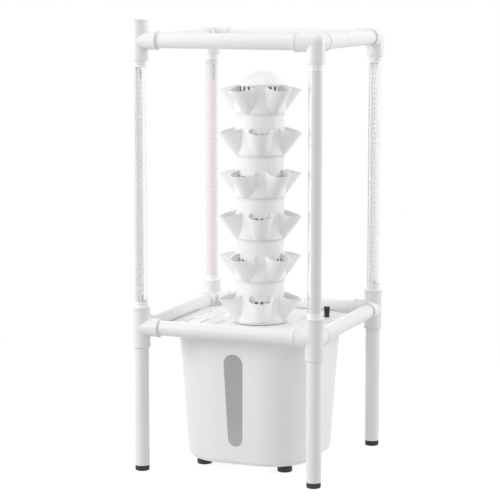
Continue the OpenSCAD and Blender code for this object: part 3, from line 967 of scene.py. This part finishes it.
@dataclass
class LampTube:
    """One lamp tube: its chips in a row on the board, and the drive parts at its blank ends."""

    corner: Corner
    aim: float
    head_blank: float
    foot_blank: float
    effects: Effects
    finishes: LampFinishes
    board_ledge: float = 1.6 * MM
    board_t: float = 1.6 * MM
    chip_pitch: float = 11.0 * MM
    chip_w: float = 5.4 * MM
    chip_h: float = 5.0 * MM
    chip_t: float = 1.3 * MM
    chip_rim: float = 0.6 * MM
    chip_recess: float = 0.3 * MM
    chip_edge: float = 0.25 * MM
    front_facing: float = 0.9
    drive_w: float = 12.6 * MM
    drive_t: float = 0.5 * MM
    drive_edge: float = 0.12 * MM
    row_pitch: float = 4.2 * MM
    row_share: float = 0.6
    part_edge: float = 0.2 * MM
    rows_in_turn: int = 5
    wide_row: int = 3
    wide_part: DrivePart = DrivePart(3.0 * MM, 4.6 * MM, 2.0 * MM)
    edge_part: DrivePart = DrivePart(4.8 * MM, 1.6 * MM, 1.2 * MM)
    small_part: DrivePart = DrivePart(0.8 * MM, 0.9 * MM, 0.8 * MM)
    tube_seat: float = 6.0 * MM

    def __post_init__(self) -> None:
        """Reads the post's axis and the board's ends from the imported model."""
        low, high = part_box(f"lamp_board_{self.corner.label}")
        caps_low, caps_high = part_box(f"lamp_caps_{self.corner.label}")
        self.axis = Vector(((caps_low.x + caps_high.x) / 2, (caps_low.y + caps_high.y) / 2, 0.0))
        self.foot_z = low.z + self.tube_seat
        self.head_z = high.z - self.tube_seat
        self.face_x = self.board_t - self.board_ledge
        self.body = f"lamp_{self.corner.label}"

    def build(self) -> None:
        """Models the chips and the drive parts, and lets them ride with the lamp."""
        pieces = [self._chips()]
        for name, low, high in (
            ("head", self.head_z - self.head_blank, self.head_z),
            ("foot", self.foot_z, self.foot_z + self.foot_blank),
        ):
            if high > low:
                pieces.append(self._drive(name, low, high))
        for piece in pieces:
            self._stand(piece)
            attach(piece, self.body)
            LOG.info("modelled %s", piece.name)

    def dress(self) -> None:
        """Gives the lamp's nodes their finishes."""
        back = replace(LAMP_BACK, name=f"lamp_back_{self.corner.label}", aim=self.aim)
        for part, material in (
            ("cover", self.finishes.cover),
            ("housing", back.make(self.effects)),
            ("board", self.finishes.board),
            ("caps", self.finishes.cap),
        ):
            dress([f"lamp_{part}_{self.corner.label}"], material)

    def _stand(self, piece: bpy.types.Object) -> None:
        """Turns a piece to the lamp's aim and moves it to the post's axis, in its mesh.

        Args:
            piece: The piece, modelled on the axis and facing X.
        """
        pick(piece)
        piece.rotation_euler = (0.0, 0.0, math.radians(self.aim))
        piece.location = self.axis
        bpy.ops.object.transform_apply(location=True, rotation=True, scale=True)

    def _chips(self) -> bpy.types.Object:
        """Models one chip with its sunk lens and repeats it along the board.

        Returns:
            The row of chips as one piece.
        """
        low = self.foot_z + self.foot_blank + self.chip_pitch / 2
        high = self.head_z - self.head_blank - self.chip_pitch / 2
        count = int((high - low) / self.chip_pitch) + 1
        size = (self.chip_t, self.chip_w, self.chip_h)
        middle = (self.face_x + self.chip_t / 2, 0.0, low)
        chip = add_block(f"lamp_chips_{self.corner.label}", size, middle)
        chip.data.materials.append(self.finishes.chip)
        chip.data.materials.append(self.finishes.lens)
        bpy.ops.object.mode_set(mode="EDIT")
        select_faces(chip, lambda face: face.normal.x > self.front_facing)
        bpy.ops.mesh.inset(thickness=self.chip_rim, depth=-self.chip_recess)
        chip.active_material_index = 1
        bpy.ops.object.material_slot_assign()
        bpy.ops.object.mode_set(mode="OBJECT")
        soften(chip, self.chip_edge)
        apply_modifier(
            chip,
            "ARRAY",
            count=count,
            use_relative_offset=False,
            use_constant_offset=True,
            constant_offset_displace=(0.0, 0.0, self.chip_pitch),
        )
        return chip

    def _drive(self, end: str, low: float, high: float) -> bpy.types.Object:
        """Models the grey drive board at one end of the tube, with its parts.

        Args:
            end: Which end it is, for the name.
            low: The board's lower end.
            high: The board's upper end.

        Returns:
            The board and its parts as one piece.
        """
        name = f"lamp_drive_{end}_{self.corner.label}"
        length = high - low
        front = self.face_x + self.drive_t
        middle = (self.face_x + self.drive_t / 2, 0.0, (low + high) / 2)
        board = self._drive_block(name, (self.drive_t, self.drive_w, length), middle)
        soften(board, self.drive_edge)
        pieces = [board]
        rows = max(1, int((length - self.row_pitch / 2) / self.row_pitch))
        for row in range(rows):
            z = low + self.row_pitch / 2 + row * self.row_pitch
            for part in self._part_row(row):
                size = (part.rise, part.width, self.row_share * self.row_pitch)
                block = self._drive_block(name, size, (front + part.rise / 2, part.across, z))
                for face in block.data.polygons:
                    face.material_index = 1
                soften(block, self.part_edge)
                pieces.append(block)
        return join(pieces, name)

    def _drive_block(
        self, name: str, size: tuple[float, float, float], middle: tuple[float, float, float]
    ) -> bpy.types.Object:
        """Adds a block with the drive board's two materials.

        Args:
            name: The new object's name.
            size: Its lengths along X, Y and Z.
            middle: The place of its middle.

        Returns:
            The new block, in the board's own material.
        """
        block = add_block(name, size, middle)
        block.data.materials.append(self.finishes.drive_board)
        block.data.materials.append(self.finishes.drive_part)
        return block

    def _part_row(self, row: int) -> list[DrivePart]:
        """The parts in one row of the drive board.

        Args:
            row: The row's number from the lower end.

        Returns:
            The parts, side by side.
        """
        if row % self.rows_in_turn == self.wide_row:
            return [self.wide_part]
        return [self.edge_part, self.small_part]


@dataclass
class WaterTank:
    """The tank on its feet, with its sight window, its lid and the filling bung."""

    effects: Effects

    def dress(self) -> None:
        """Gives the tank's nodes their finishes."""
        dress(["tank_body"], TANK.make(self.effects))
        dress(["tank_lid"], LID.make(self.effects))
        dress(["sight_window"], WINDOW.make(self.effects))
        dress(["tank_feet", "filling_bung"], FOOT_RUBBER.make(self.effects))


@dataclass
class PlantTower:
    """The stack of planting layers under its dome."""

    effects: Effects
    layers: int = 6
    flare_h: float = 58.0 * MM

    def dress(self) -> None:
        """Gives the tower's nodes their finishes."""
        names = [f"planting_layer_{number}" for number in range(1, self.layers + 1)]
        tops = [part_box(name)[1].z for name in names]
        pitch = (tops[-1] - tops[0]) / (self.layers - 1)
        finish = replace(LAYER, seam_z=tops[0] - self.flare_h, seam_pitch=pitch)
        dress(names, finish.make(self.effects))
        dress(["dome_cap", "water_spreader"], DOME.make(self.effects))


@dataclass
class WaterLift:
    """The pump in the tank and the riser pipe up the tower."""

    effects: Effects

    def dress(self) -> None:
        """Gives the pump's and the riser's nodes their finishes."""
        dress(["pump_housing", "pump_intake_cover"], PUMP.make(self.effects))
        dress(["pump_impeller"], IMPELLER.make(self.effects))
        dress(["riser_pipe"], RISER.make(self.effects))


@dataclass(frozen=True)
class SoftBox:
    """A soft studio light, placed round the object from the camera's direction."""

    name: str
    swing: float
    watts: float
    elevation: float = 20.0
    distance: float = 2.2
    width: float = 1.0
    height: float = 1.0


@dataclass
class Studio:
    """The camera, the white surround, the floor and the soft boxes."""

    azimuth: float = 21.63
    elevation: float = 8.23
    distance: float = 4.099
    focal_px: float = 1888.7
    frame_px: float = 500.0
    sensor_mm: float = 36.0
    target_side: float = -22.24 * MM
    target_z: float = 460.6 * MM
    ambient: float = 0.61
    light_target_z: float = 0.5
    floor_radius: float = 9.0
    floor_sides: int = 96
    boxes: tuple[SoftBox, ...] = (
        SoftBox("left_box", swing=-76.0, watts=30.0, width=2.0),
        SoftBox("left_back_box", swing=-165.0, watts=3.2),
        SoftBox("right_box", swing=100.0, watts=16.7),
        SoftBox("front_box", swing=45.0, watts=3.2, elevation=55.0),
        SoftBox("top_box", swing=0.0, watts=7.5, elevation=88.0),
    )

    def build(self) -> None:
        """Sets up the whole studio."""
        self._camera()
        self._surround()
        self._floor()
        for box in self.boxes:
            self._light(box)
        bpy.context.scene.view_settings.view_transform = "Standard"

    @staticmethod
    def _toward(azimuth: float, elevation: float) -> Vector:
        """The direction from the object to a place round it.

        Args:
            azimuth: The turn from the front towards the right.
            elevation: The angle above the floor.

        Returns:
            A direction of length 1.
        """
        turn, rise = math.radians(azimuth), math.radians(elevation)
        level = math.cos(rise)
        return Vector((math.sin(turn) * level, -math.cos(turn) * level, math.sin(rise)))

    def _camera(self) -> None:
        """Places the camera at the photograph's view."""
        data = bpy.data.cameras.new("photo_camera")
        data.sensor_width = self.sensor_mm
        data.lens = self.focal_px / self.frame_px * self.sensor_mm
        camera = bpy.data.objects.new("photo_camera", data)
        bpy.context.scene.collection.objects.link(camera)
        turn = math.radians(self.azimuth)
        target = Vector((math.cos(turn), math.sin(turn), 0.0)) * self.target_side
        target.z = self.target_z
        back = self._toward(self.azimuth, self.elevation)
        camera.location = target + back * self.distance
        camera.rotation_euler = (-back).to_track_quat("-Z", "Y").to_euler()
        bpy.context.scene.camera = camera

    def _surround(self) -> None:
        """Makes the world white to look at and a soft even light elsewhere."""
        world = bpy.data.worlds.new("white_surround")
        world.use_nodes = True
        bpy.context.scene.world = world
        graph = Graph(world.node_tree)
        light = graph.add("Background", {"Color": rgba(WHITE), "Strength": self.ambient})
        seen = graph.add("Background", {"Color": rgba(WHITE), "Strength": 1.0})
        mixed = graph.add(
            "MixShader", {0: seen_ray(graph), 1: light.outputs[0], 2: seen.outputs[0]}
        )
        graph.add("OutputWorld", {"Surface": mixed.outputs[0]})

    def _floor(self) -> None:
        """Lays the floor under the feet."""
        start_fresh()
        bpy.ops.mesh.primitive_circle_add(
            vertices=self.floor_sides, radius=self.floor_radius, fill_type="NGON"
        )
        floor = bpy.context.object
        floor.name = "studio_floor"
        floor.data.materials.append(FloorFinish().make())

    def _light(self, box: SoftBox) -> None:
        """Hangs one soft box.

        Args:
            box: The soft box.
        """
        data = bpy.data.lights.new(box.name, "AREA")
        data.shape = "RECTANGLE"
        data.size = box.width
        data.size_y = box.height
        data.energy = box.watts
        lamp = bpy.data.objects.new(box.name, data)
        bpy.context.scene.collection.objects.link(lamp)
        toward = self._toward(self.azimuth + box.swing, box.elevation)
        lamp.location = Vector((0.0, 0.0, self.light_target_z)) + toward * box.distance
        lamp.rotation_euler = (-toward).to_track_quat("-Z", "Y").to_euler()


def main() -> None:
    """Builds the studio and dresses the tower, one sub-assembly after the other."""
    logging.basicConfig(level=logging.INFO, format="%(message)s")
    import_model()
    Studio().build()
    effects = Effects()
    finishes = LampFinishes.make(effects)
    for corner, aim, head_blank, foot_blank in (
        (Corner.FRONT_LEFT, -10.0, 27.0 * MM, 17.0 * MM),
        (Corner.FRONT_RIGHT, 160.0, 30.0 * MM, 17.0 * MM),
        (Corner.BACK_RIGHT, -30.0, 6.0 * MM, 14.0 * MM),
        (Corner.BACK_LEFT, -70.0, 48.0 * MM, 0.0),
    ):
        lamp = LampTube(corner, aim, head_blank, foot_blank, effects, finishes)
        lamp.build()
        lamp.dress()
    for assembly in (PipeFrame, WaterTank, PlantTower, WaterLift):
        assembly(effects).dress()


if __name__ == "__main__":
    main()
